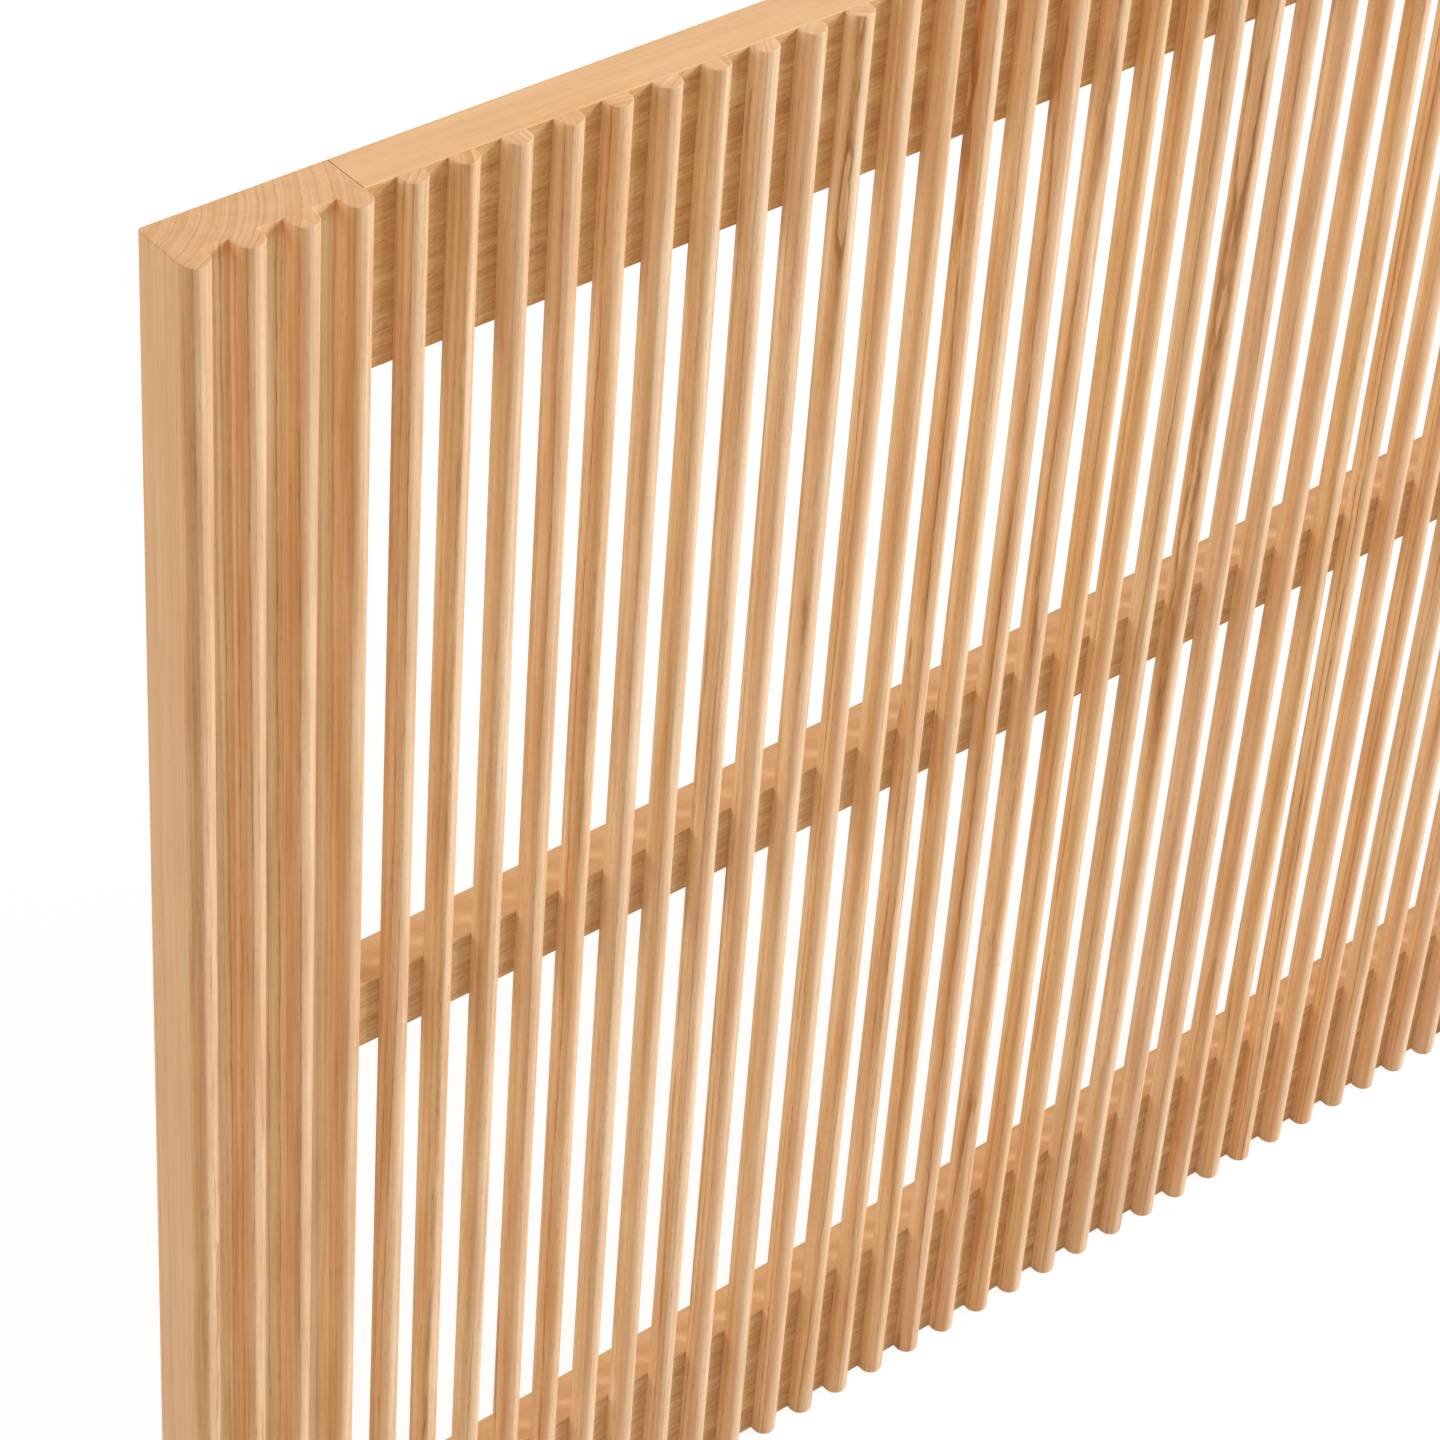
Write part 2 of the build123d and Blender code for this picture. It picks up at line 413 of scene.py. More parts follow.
# %% Finish the group for oiled wood
STREAK_SWINGS = {"Broad": 0.44, "Fine": 0.44, "Bands": 0.70, "Ring Tone": 0.20}
END_FADE = 0.7
END_DIM = 0.07
BOARD_HUE = (0.006, 0.497)
BAND_HUE = 0.008
BOARD_RICHNESS = (0.12, 0.95)
PLAIN_SHARE = 0.45
DEEPENING = 1.1
LINE_HIGHLIGHT_FADE = 0.65
LINE_END_FADE = 0.6
LINE_PORES = (0.4, 0.8)
PORE_DEPTH = (0.45, 0.10)
FLANK_SHADE_RISE = (0.20, 0.60)
FLANK_SHADE_FALL = (0.92, 0.985)
PLAIN_ROUGHNESS = 0.50
ROUGHNESS_SHARES = {"Ring Line": -0.06, "Pores": 0.12, "Fine": 0.08}
HEIGHT_SHARES = {"Fine": 0.5, "Late Wood": 0.25, "Pores": -0.6}

long_grain = times(scaled(given["End"], -END_FADE, 1.0), quiet)


def around_one(value, size):
    """A multiplier that swings round 1 with a value between 0 and 1, less on a sawn end."""
    return scaled(times(minus(value, 0.5), size), long_grain, 1.0)


def gathered(shares, total):
    """A total with a share of each named input added."""
    for name, share in shares.items():
        total = scaled(given[name], share, total)
    return total


throw = times(given["Board"], BOARD_SPREAD * 3)
dice = put(oiled, "ShaderNodeTexWhiteNoise", {"W": throw}, noise_dimensions="1D").outputs["Color"]
dice = put(oiled, "ShaderNodeSeparateXYZ", {0: dice}).outputs
tone = scaled(given["End"], -END_DIM, 1.0)
for name, size in STREAK_SWINGS.items():
    tone = times(tone, around_one(given[name], size))
tone = times(tone, plus(times(minus(dice[0], 0.5), given["Board Change"]), 1.0))
hue = scaled(minus(given["Bands"], 0.5), BAND_HUE, scaled(dice[1], *BOARD_HUE))
change = {
    "Hue": hue,
    "Saturation": scaled(dice[2], *BOARD_RICHNESS),
    "Value": scaled(tone, PLAIN_SHARE, 1.0 - PLAIN_SHARE),
    "Color": colour,
}
colour = put(oiled, "ShaderNodeHueSaturation", change).outputs[0]
depth = scaled(tone, -DEEPENING, 1.0 + DEEPENING)
colour = put(oiled, "ShaderNodeGamma", {"Color": colour, "Gamma": depth}).outputs[0]

# Ring lines fade under the painted crest highlight.
line_share = times(given["Ring Line"], given["Line Strength"], quiet, scaled(painted_crest_highlight, -LINE_HIGHLIGHT_FADE, 1.0))
line_share = times(line_share, scaled(given["Pores"], *LINE_PORES))
line_share = times(line_share, scaled(given["End"], -LINE_END_FADE, 1.0))
pore_share = times(given["Pores"], scaled(given["Late Wood"], *PORE_DEPTH), long_grain)
fleck_share = times(given["Flecks"], given["Fleck Strength"], long_grain, quiet)
for share in (line_share, pore_share, fleck_share):
    colour = mix_colours(share, colour, given["Line Colour"])
# A painted shade on the flanks of each nose, multiplied into the colour.
painted_flank_shade = times(step_between(crest, *FLANK_SHADE_RISE), step_between(crest, *FLANK_SHADE_FALL, 1.0, 0.0))
painted_flank_shade = times(painted_flank_shade, given["Painted Flank Shade Depth"])
colour = mix_colours(painted_flank_shade, colour, given["Painted Flank Shade Colour"], "MULTIPLY")
oiled.links.new(colour, result["Colour"])
oiled.links.new(gathered(ROUGHNESS_SHARES, PLAIN_ROUGHNESS), result["Roughness"])
oiled.links.new(gathered(HEIGHT_SHARES, 0.0), result["Height"])
print("oiled wood:", len(oiled.nodes), "nodes")

# %% [markdown]
# ## Three woods from one tree
# The stiles are sawn from thick boards, the rails from quiet, straight-grained ones and the slats
# from narrow strips, so they share the groups but not their values: a strip shows fewer, wider
# rings and differs more from its neighbour, and a rail shows flecks more than rings. The groove
# shading is painted: painted light in a stile's grooves, painted shade over a rail's front, where
# the slats shade it, and a less red painted shade on the back of a slat's flanks. The painted
# flank shade is strongest on the stiles, weak on the slats and absent on the rails. The shader
# itself is a plain Principled one. Wood under oil has a soft gloss with no clear coat, and its
# raised fibres give a faint sheen along the edges.

# %% Make the wood materials
RELIEF = 0.12 * MM
RELIEF_STRENGTH = 0.6
GLOSS = {
    "Specular IOR Level": 0.22,
    "Sheen Weight": 0.12,
    "Sheen Roughness": 0.5,
    "Sheen Tint": (1.0, 0.93, 0.84, 1.0),
}


def new_material(name):
    """A material with an empty tree, its Principled shader linked up."""
    material = bpy.data.materials.new(name)
    material.use_nodes = True
    tree = material.node_tree
    return material, tree, next(n for n in tree.nodes if n.type == "BSDF_PRINCIPLED")


def wood(name, ring_values, slant, finish_values):
    """Solid wood that reads the attributes grain, board, crest and end of its piece."""
    material, tree, shader = new_material(name)
    grain = put(tree, "ShaderNodeAttribute", attribute_name="grain").outputs["Vector"]
    board, crest, end = (
        put(tree, "ShaderNodeAttribute", attribute_name=mark).outputs["Fac"]
        for mark in ("board", "crest", "end")
    )
    place = {"Grain": grain, "Board": board}
    ring = put(tree, "ShaderNodeGroup", {**place, **ring_values}, node_tree=rings)
    fibre = put(tree, "ShaderNodeGroup", {**place, "Slant": slant}, node_tree=fibres)
    figure = {socket.name: socket for source in (ring, fibre) for socket in source.outputs}
    finish_sockets = {"Board": board, "Crest": crest, "End": end, **figure, **finish_values}
    finish = put(tree, "ShaderNodeGroup", finish_sockets, node_tree=oiled).outputs
    bump = {"Strength": RELIEF_STRENGTH, "Distance": RELIEF, "Height": finish["Height"]}
    tree.links.new(finish["Colour"], shader.inputs["Base Color"])
    tree.links.new(finish["Roughness"], shader.inputs["Roughness"])
    tree.links.new(put(tree, "ShaderNodeBump", bump).outputs["Normal"], shader.inputs["Normal"])
    for socket, value in GLOSS.items():
        shader.inputs[socket].default_value = value
    return material


# Each wood's groove colour is painted light or shade, and its shoulder values set a painted flank shade.
stile_wood = wood(
    "oiled stile wood",
    {"Ring Width": 0.0036, "Wander": 0.006},
    0.08,
    {
        "Figure": 0.50, "Band Strength": 0.30, "Line Strength": 1.0, "Fleck Strength": 0.06,
        "Board Change": 0.03, "Painted Flank Shade Depth": 0.4,
    },
)
rail_wood = wood(
    "oiled rail wood",
    {"Ring Width": 0.0036, "Wander": 0.012},
    0.42,
    {
        "Figure": 0.20, "Band Strength": 0.08, "Line Strength": 0.10, "Fleck Strength": 0.30,
        "Board Change": 0.03, "Painted Flank Shade Depth": 0.0, "Painted Groove Shading": (0.69, 0.41, 0.195, 1.0),
    },
)
slat_wood = wood(
    "oiled slat wood",
    {"Ring Width": 0.0048, "Wander": 0.018},
    0.12,
    {
        "Figure": 0.50, "Band Strength": 0.30, "Line Strength": 0.85, "Fleck Strength": 0.08,
        "Board Change": 0.10, "Painted Flank Shade Depth": 0.10, "Painted Groove Shading": (0.85, 0.610, 0.390, 1.0),
        "Early Colour": (0.93, 0.600, 0.365, 1.0), "Painted Highlight Colour": (0.91, 0.615, 0.405, 1.0),
    },
)
print("wood materials:", stile_wood.name, rail_wood.name, slat_wood.name)

# %% [markdown]
# ## Helpers for meshes
# The frame's pieces are simple outlines pulled along a line, so one helper stacks rings of points
# into a closed mesh and another turns a profile round an axis, as a lathe does. Two more join
# meshes and cut holes with a boolean, which needs closed meshes on both sides. The last one marks
# the edges that stay crisp while the rest is shaded softly.

# %% Make plain meshes
CRISP_CORNER = math.radians(35)


def stacked(name, levels):
    """A closed mesh through rings of equally many points, with a flat cap at each end."""
    mesh = bpy.data.meshes.new(name)
    count = len(levels[0])
    points = [point for level in levels for point in level]
    faces = [tuple(reversed(range(count)))]
    for row in range(len(levels) - 1):
        for n in range(count):
            lower, upper = row * count, (row + 1) * count
            following = (n + 1) % count
            faces.append((lower + n, lower + following, upper + following, upper + n))
    faces.append(tuple(range(len(points) - count, len(points))))
    mesh.from_pydata(points, [], faces)
    mesh.validate()
    return mesh


def mesh_from(shape, name):
    """A new mesh from a shape that was being edited."""
    mesh = bpy.data.meshes.new(name)
    shape.to_mesh(mesh)
    shape.free()
    return mesh


def turned(name, profile, sides):
    """A mesh turned round the Y axis from (radius, y) points, closed if it ends on the axis."""
    shape = bmesh.new()
    rows = []
    for radius, y in profile:
        turns = [2 * math.pi * n / sides for n in range(sides if radius > 0 else 1)]
        ring = [(radius * math.cos(turn), y, radius * math.sin(turn)) for turn in turns]
        rows.append([shape.verts.new(point) for point in ring])
    for row, above in zip(rows, rows[1:]):
        for n in range(sides):
            lower = [row[n % len(row)], row[(n + 1) % len(row)]]
            upper = [above[(n + 1) % len(above)], above[n % len(above)]]
            shape.faces.new(list(dict.fromkeys(lower + upper)))
    bmesh.ops.recalc_face_normals(shape, faces=shape.faces)
    return mesh_from(shape, name)


def new_piece(name, mesh, material=None):
    """An object at the origin for a mesh."""
    piece = bpy.data.objects.new(name, mesh)
    bpy.context.scene.collection.objects.link(piece)
    if material:
        mesh.materials.append(material)
    return piece


def settled(piece):
    """The piece with its modifiers made real and removed."""
    evaluated = piece.evaluated_get(bpy.context.evaluated_depsgraph_get())
    mesh = bpy.data.meshes.new_from_object(evaluated)
    piece.modifiers.clear()
    piece.data = mesh
    return piece


def joined(name, placed):
    """One mesh with a copy of each mesh, moved to its place."""
    shape = bmesh.new()
    for mesh, place in placed:
        start = len(shape.verts)
        shape.from_mesh(mesh)
        shape.verts.ensure_lookup_table()
        bmesh.ops.translate(shape, verts=shape.verts[start:], vec=place)
    return mesh_from(shape, name)


def cut(piece, cutters):
    """Take the cutters' mesh out of the piece."""
    tool = new_piece("cutter", cutters)
    modifier = piece.modifiers.new("holes", "BOOLEAN")
    modifier.operation = "DIFFERENCE"
    modifier.solver = "EXACT"
    modifier.object = tool
    settled(piece)
    bpy.data.objects.remove(tool)


def smooth_but_for_corners(mesh):
    """Soft shading over rounded parts, with flat faces left flat and corners left crisp."""
    shape = bmesh.new()
    shape.from_mesh(mesh)
    for face in shape.faces:
        face.smooth = True
    for edge in shape.edges:
        edge.smooth = not edge.is_manifold or edge.calc_face_angle() < CRISP_CORNER
    shape.to_mesh(mesh)
    shape.free()


print("mesh helpers ready")

# %% [markdown]
# ## Telling the wood where it is
# The wood materials ask each piece for its grain, its board, its crest and its ends. The first two
# are written on the points. The others are written on the faces' corners, so that a flat end keeps
# its tone up to its rim, whatever the nose beside it does. The crest value places the painted light
# and shade of the finish, and it grows with the distance from the front of the rails. Flat outer
# faces get a value above 1, and the last 20 mm of a stile's grooves rise towards 1, which leaves
# the painted groove light out where real light falls in from above. Where in the trunk a piece was
# sawn is a choice, and a pith behind a stile gives the curves that its top shows.

# %% Write the wood's attributes
OPEN_FACE = 2.0
OUTER_SIDE = 0.66
LIT_TOP = 20.0 * MM
LIT_CREST = 0.85
STRAIGHT = 0.999
AT_SIDE = 0.001
LEVEL = 0.5
BACKWARD = 0.05
SAWN_END = 0.7


def read(items, name, width, kind=float):
    """One value of every item, as an array with a row for each."""
    values = np.empty(len(items) * width, kind)
    items.foreach_get(name, values)
    return values.reshape(-1, width)


def write(mesh, name, kind, domain, values):
    """Store values as a named attribute."""
    attribute = mesh.attributes.get(name) or mesh.attributes.new(name, kind, domain)
    attribute.data.foreach_set("vector" if kind == "FLOAT_VECTOR" else "value", np.ravel(values))


def mark_faces(mesh, depth, along, sides=()):
    """Crest: 0 in a groove, 1 on a nose, OPEN_FACE on flat outer faces. End: 1 across the grain."""
    places = read(mesh.vertices, "co", 3)[read(mesh.loops, "vertex_index", 1, int)[:, 0]]
    corner_counts = read(mesh.polygons, "loop_total", 1, int)[:, 0]
    normals = np.repeat(read(mesh.polygons, "normal", 3), corner_counts, axis=0)
    # The crest value decides where painted highlight, flank shade and groove shading go.
    crest = np.clip((front_plane - places[:, 1]) / depth, 0, 1)
    for x in sides:
        inside = np.abs(places[:, 0] - x) / depth
        crest = np.maximum(crest, OUTER_SIDE - inside)
        crest[(np.abs(normals[:, 0]) > STRAIGHT) & (inside < AT_SIDE)] = OPEN_FACE
    # Near a stile's top the painted groove light gives way, since real light falls in there.
    if sides:
        lit = np.clip(1 + (places[:, 2] - overall_height) / LIT_TOP, 0, 1)
        crest = np.maximum(crest, LIT_CREST * lit)
    crest[(np.abs(normals[:, 2]) > LEVEL) | (normals[:, 1] > BACKWARD)] = OPEN_FACE
    write(mesh, "crest", "FLOAT", "CORNER", crest)
    write(mesh, "end", "FLOAT", "CORNER", np.abs(normals[:, along]) > SAWN_END)


def mark_grain(mesh, board, order, centre, pith, lean=0.0):
    """The place in the trunk: order names the axes that run across, across and along it."""
    trunk = (read(mesh.vertices, "co", 3) - centre)[:, order]
    trunk[:, 0] += lean * trunk[:, 2]
    trunk[:, :2] -= pith
    write(mesh, "grain", "FLOAT_VECTOR", "POINT", trunk)
    write(mesh, "board", "FLOAT", "POINT", np.full(len(mesh.vertices), board))


print("attribute helpers ready")

# %% [markdown]
# ## The stiles
# A stile is a thick upright with four round-nosed ridges milled along its front. Its outline
# follows a rule: straight side, half circle, straight side, groove, and again. So it is written as
# arcs and lines, and stacked from foot to top. The rings of points near both ends draw in a
# little, which makes the sanded rim that catches the light. One more ring lies 20 mm below the
# top, so that the crest value can change from there on.

# %% Draw the outline of a stile
QUARTER_TURN = math.pi / 2
NOSE_STEPS = 24
CORNER_STEPS = 6
RIM_STEPS = 5
RIM = 1.0 * MM
EDGE_EASE = 1.2 * MM
OUTER_ROUND = 4.0 * MM
stile_centre = (rail_length + stile_width) / 2


def nose(centre, width, depth):
    """The side, round nose and other side of a ridge, from left to right."""
    radius = width / 2
    middle = front_plane - depth + radius
    turns = [math.pi + math.pi * n / NOSE_STEPS for n in range(NOSE_STEPS + 1)]
    arc = [(centre + radius * math.cos(turn), middle + radius * math.sin(turn)) for turn in turns]
    return [(centre - radius, front_plane), *arc, (centre + radius, front_plane)]


def round_corner(x, y, radius, start):
    """A rounded corner of an outline, anticlockwise from the angle where it starts."""
    middle_x = x - radius * math.copysign(1, math.cos(start + QUARTER_TURN / 2))
    middle_y = y - radius * math.copysign(1, math.sin(start + QUARTER_TURN / 2))
    turns = [start + QUARTER_TURN * n / CORNER_STEPS for n in range(CORNER_STEPS + 1)]
    return [(middle_x + radius * math.cos(turn), middle_y + radius * math.sin(turn)) for turn in turns]


def stile_outline(side):
    """The outline of a stile seen from above, anticlockwise; side is -1 for the left one."""
    middle = side * stile_centre
    crests = [middle + (n - (RIDGE_COUNT - 1) / 2) * ridge_pitch for n in range(RIDGE_COUNT)]
    front = [point for crest in crests for point in nose(crest, RIDGE_WIDTH, ridge_depth)]
    back_rounds = (OUTER_ROUND, EDGE_EASE) if side > 0 else (EDGE_EASE, OUTER_ROUND)
    right_back = round_corner(middle + stile_width / 2, back_plane, back_rounds[0], 0)
    left_back = round_corner(middle - stile_width / 2, back_plane, back_rounds[1], QUARTER_TURN)
    return front[1:-1] + right_back + left_back


def drawn_in(outline, inset):
    """The outline moved inwards, square to its sides."""
    moved = []
    for before, point, after in zip(outline[-1:] + outline, outline, outline[1:] + outline[:1]):
        sides = [Vector(point) - Vector(before), Vector(after) - Vector(point)]
        first, second = [Vector((-side.y, side.x)).normalized() for side in sides]
        moved.append(Vector(point) + (first + second) * inset / (1 + first.dot(second)))
    return moved


def stile_levels():
    """Heights and insets of a stile's rings of points, from its foot to its top."""
    turns = [QUARTER_TURN * n / RIM_STEPS for n in range(RIM_STEPS + 1)]
    foot = [(RIM * (1 - math.cos(turn)), RIM * (1 - math.sin(turn))) for turn in turns]
    head = [(overall_height - z, inset) for z, inset in reversed(foot)]
    return foot + [(overall_height - LIT_TOP, 0.0)] + head


print("points in a stile's outline:", len(stile_outline(-1)))

# %% [markdown]
# ## Holes and seats
# The inner side of a stile has holes for the dowels of the rails, and its back has flanged seats
# for the threaded inserts. Each is cut by a turned shape that reaches past the face it opens,
# because a boolean is only sure where two meshes cross and don't just touch. A seat is a hair
# wider than its insert, as a drilled one is.

# %% Shape the cutters
DOWEL_RADIUS = 5.05 * MM
DOWEL_DEPTH = 31.0 * MM
DOWEL_EDGES = {"top_rail": 28 * MM, "mid_rail": 13 * MM, "bottom_rail": 28 * MM}
FLANGE_SEAT = 8.05 * MM
FLANGE_THICKNESS = 1.5 * MM
BARREL_SEAT = 6.05 * MM
SEAT_ROOM = 0.05 * MM
OVERRUN = 2.0 * MM
HOLE_SIDES = 40
insert_low, insert_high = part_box("fixing_inserts")
barrel_length = insert_high.y - insert_low.y
insert_x = insert_high.x - (FLANGE_SEAT - SEAT_ROOM)
insert_levels = [insert_low.z + FLANGE_SEAT, insert_high.z - FLANGE_SEAT]
dowel_levels = {
    name: (low + DOWEL_EDGES[name], high - DOWEL_EDGES[name]) for name, (low, high) in rail_levels.items()
}


def dowel_holes(levels, sides):
    """Cutters for the dowel holes on both sides of the joint, at the given ends of the rails."""
    half = DOWEL_DEPTH
    profile = [(0, -half), (DOWEL_RADIUS, -half), (DOWEL_RADIUS, half), (0, half)]
    bar = turned("dowel hole", profile, HOLE_SIDES)
    bar.transform(Matrix.Rotation(QUARTER_TURN, 4, "Z"))
    return [(bar, (side * rail_length / 2, frame_middle, z)) for side in sides for z in levels]


def insert_seats(side):
    """Cutters for the flanged seats in the back of one stile."""
    profile = [
        (0, OVERRUN),
        (FLANGE_SEAT, OVERRUN),
        (FLANGE_SEAT, -FLANGE_THICKNESS),
        (BARREL_SEAT, -FLANGE_THICKNESS),
        (BARREL_SEAT, -barrel_length),
        (0, -barrel_length),
    ]
    seat = turned("insert seat", profile, HOLE_SIDES)
    return [(seat, (side * insert_x, back_plane, z)) for z in insert_levels]


print("dowel holes in a stile:", sum(len(pair) for pair in dowel_levels.values()))

# %% [markdown]
# ## Two stiles from two boards
# The stiles are mirror images in shape but not in wood: nobody saws two alike. Each gets its own
# number and its own pith, and the trunk leans a little against both, because a saw never follows
# it quite.

# %% Build both stiles
STILE_LEAN = 0.006
STILE_BOARDS = {"left_stile": 0.37, "right_stile": 0.62}
STILE_PITHS = {"left_stile": (-0.095, 0.073), "right_stile": (0.052, 0.110)}


def make_stile(name, node, side):
    """One stile, cut, shaded and marked for its wood."""
    outline = stile_outline(side)
    levels = [[(x, y, z) for x, y in drawn_in(outline, inset)] for z, inset in stile_levels()]
    piece = new_piece(name, stacked(name, levels), stile_wood)
    hole_levels = [z for pair in dowel_levels.values() for z in pair]
    cut(piece, joined("stile cutters", dowel_holes(hole_levels, (side,)) + insert_seats(side)))
    smooth_but_for_corners(piece.data)
    middle = side * stile_centre
    mark_faces(piece.data, ridge_depth, 2, (middle - stile_width / 2, middle + stile_width / 2))
    centre = (middle, frame_middle, 0)
    mark_grain(piece.data, STILE_BOARDS[node], (0, 1, 2), centre, STILE_PITHS[node], STILE_LEAN)
    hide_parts(node)
    return piece


stiles = [make_stile("stile_left", "left_stile", -1), make_stile("stile_right", "right_stile", 1)]
print("faces in a stile:", len(stiles[0].data.polygons))

# %% [markdown]
# ## A row of equal parts
# A row of holes or screws is one part, repeated at a steady step. In Geometry Nodes that is a line
# of points with an instance on each. The tree takes the part, the count, the first place and the
# step as named inputs, and it ends by making the instances real, because the export drops them.

# %% Build the tree for a row of parts


def geometry(tree, kind, sockets=None, **options):
    """The first output of a new geometry node."""
    return put(tree, "GeometryNode" + kind, sockets, **options).outputs[0]


row_tree, given, result = new_group(
    "row of parts",
    "GeometryNodeTree",
    {
        "Part": ("Object", None),
        "Count": ("Int", 1),
        "First Place": ("Vector", (0.0, 0.0, 0.0)),
        "Step": ("Vector", (1.0, 0.0, 0.0)),
        "Material": ("Material", None),
    },
    {"Geometry": "Geometry"},
)
marks = {"Count": given["Count"], "Start Location": given["First Place"], "Offset": given["Step"]}
marks = geometry(row_tree, "MeshLine", marks)
part = put(row_tree, "GeometryNodeObjectInfo", {"Object": given["Part"]}).outputs["Geometry"]
copies = geometry(row_tree, "InstanceOnPoints", {"Points": marks, "Instance": part})
real = geometry(row_tree, "RealizeInstances", {"Geometry": copies})
dressed = geometry(row_tree, "SetMaterial", {"Geometry": real, "Material": given["Material"]})
row_tree.links.new(dressed, result["Geometry"])
print("row tree:", len(row_tree.nodes), "nodes")

# %% [markdown]
# ## From a tree to a plain mesh
# A tree only works on an object that carries it as a modifier. So an empty seedling gets the tree
# and its values, the result is taken as a plain mesh, and the seedling goes. A modifier knows its
# inputs by an identifier and not by the name that we read, so the names are looked up first.

# %% Grow a mesh from a tree


def grown(name, tree, values):
    """The plain mesh that a tree makes from these values."""
    seedling = new_piece(name, bpy.data.meshes.new(name))
    modifier = seedling.modifiers.new(tree.name, "NODES")
    modifier.node_group = tree
    for item in tree.interface.items_tree:
        if item.in_out == "INPUT" and item.name in values:
            modifier[item.identifier] = values[item.name]
    mesh = settled(seedling).data
    bpy.data.objects.remove(seedling)
    return mesh


def row_of(name, part, level, material=None):
    """A part behind every slat, at one height."""
    values = {
        "Part": part,
        "Count": slat_count,
        "First Place": (slat_start, 0.0, level),
        "Step": (slat_pitch, 0.0, 0.0),
        "Material": material,
    }
    return grown(name, row_tree, values)


print("a row holds", slat_count, "parts")

# %% [markdown]
# ## The rails
# Three straight boards join the stiles behind the slats. Their long edges are eased, and behind
# each slat there is a countersunk hole for its screw. The grain of a rail runs along its length,
# so its attribute turns the axes: across is depth and height, and along is the width of the bed.

# %% Build the three rails
HOLE_RADIUS = 2.25 * MM
SINK_RADIUS = 5.05 * MM
SCREW_HOLE_SIDES = 20
RAIL_BOARDS = {"top_rail": 0.18, "mid_rail": 0.46, "bottom_rail": 0.81}
RAIL_PITHS = {"top_rail": (0.12, -0.05), "mid_rail": (-0.09, -0.06), "bottom_rail": (0.10, 0.07)}


def screw_hole():
    """A cutter for one countersunk hole, right through a rail."""
    profile = [
        (0, back_plane + OVERRUN),
        (SINK_RADIUS + OVERRUN, back_plane + OVERRUN),
        (HOLE_RADIUS, back_plane - (SINK_RADIUS - HOLE_RADIUS)),
        (HOLE_RADIUS, front_plane - OVERRUN),
        (0, front_plane - OVERRUN),
    ]
    return new_piece("screw hole", turned("screw hole", profile, SCREW_HOLE_SIDES))


def rail_outline(low, high):
    """The outline of a rail seen from its right end, anticlockwise, with eased edges."""
    corners = ((back_plane, high), (front_plane, high), (front_plane, low), (back_plane, low))
    rounded = [round_corner(y, z, EDGE_EASE, n * QUARTER_TURN) for n, (y, z) in enumerate(corners)]
    return [point for corner in rounded for point in corner]


def make_rail(name, node):
    """One rail between the stiles."""
    low, high = rail_levels[node]
    middle = (low + high) / 2
    outline = rail_outline(low, high)
    ends = [[(x, y, z) for y, z in outline] for x in (-rail_length / 2, rail_length / 2)]
    piece = new_piece(name, stacked(name, ends), rail_wood)
    cutter = screw_hole()
    holes = row_of("screw holes", cutter, middle)
    cut(piece, joined("rail cutters", [(holes, (0, 0, 0))] + dowel_holes(dowel_levels[node], (-1, 1))))
    bpy.data.objects.remove(cutter)
    smooth_but_for_corners(piece.data)
    mark_faces(piece.data, ridge_depth, 0)
    mark_grain(piece.data, RAIL_BOARDS[node], (1, 2, 0), (0, frame_middle, middle), RAIL_PITHS[node])
    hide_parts(node)
    return piece


rails = [
    make_rail("rail_top", "top_rail"),
    make_rail("rail_mid", "mid_rail"),
    make_rail("rail_bottom", "bottom_rail"),
]
print("faces in a rail:", len(rails[0].data.polygons))

# %% [markdown]
# ## The slats
# A slat is a strip whose front corners are rounded until they meet in one full nose. Forty-two of
# them stand in a row, so one is drawn and the tree repeats it. The outline starts as a rectangle.
# Its front corners are rounded by half the width, and its back corners only lose their edge. The
# inputs say what may change from one headboard to the next.

# %% Draw the outline of a slat
FILLET_STEPS = 11

slat_tree, given, result = new_group(
    "row of slats",
    "GeometryNodeTree",
    {
        "Width": ("Float", 0.018),
        "Depth": ("Float", 0.013),
        "Height": ("Float", 1.0),
        "Rim": ("Float", 0.001),
        "Back Round": ("Float", 0.0003),
        "Count": ("Int", 1),
        "First Place": ("Vector", (0.0, 0.0, 0.0)),
        "Step": ("Vector", (0.034, 0.0, 0.0)),
        "Bow": ("Float", 0.0008),
        "Play": ("Float", 0.0004),
        "Pith Near": ("Float", 0.05),
        "Pith Far": ("Float", 0.16),
        "Lean": ("Float", 0.012),
        "Seed": ("Int", 1),
        "Material": ("Material", None),
    },
    {"Geometry": "Geometry"},
)


def place_parts():
    """The X, Y and Z of the point that is being worked on."""
    return put(slat_tree, "ShaderNodeSeparateXYZ", {0: geometry(slat_tree, "InputPosition")}).outputs


strip = {"Width": given["Width"], "Height": given["Depth"]}
strip = geometry(slat_tree, "CurvePrimitiveQuadrilateral", strip)
half_width = calc("DIVIDE", given["Width"], 2.0)
at_front = calc("LESS_THAN", place_parts()["Y"], 0.0)
radius = scaled(at_front, half_width, times(minus(1.0, at_front), given["Back Round"]))
corners = {"Curve": strip, "Count": FILLET_STEPS, "Radius": radius, "Limit Radius": True}
outline = geometry(slat_tree, "FilletCurve", corners, mode="POLY")
print("slat tree, so far:", len(slat_tree.nodes), "nodes")

# %% [markdown]
# ## Sweeping a slat up
# The outline is swept up a spine from the floor to the top. Both ends of a real slat are sanded to
# a small round, so the spine has a few close points at each end, and there the outline shrinks
# along a quarter of a circle. The point's number tells how far along the foot, the straight part
# or the head it is. The place of every point is kept as its grain, before the slat is moved.

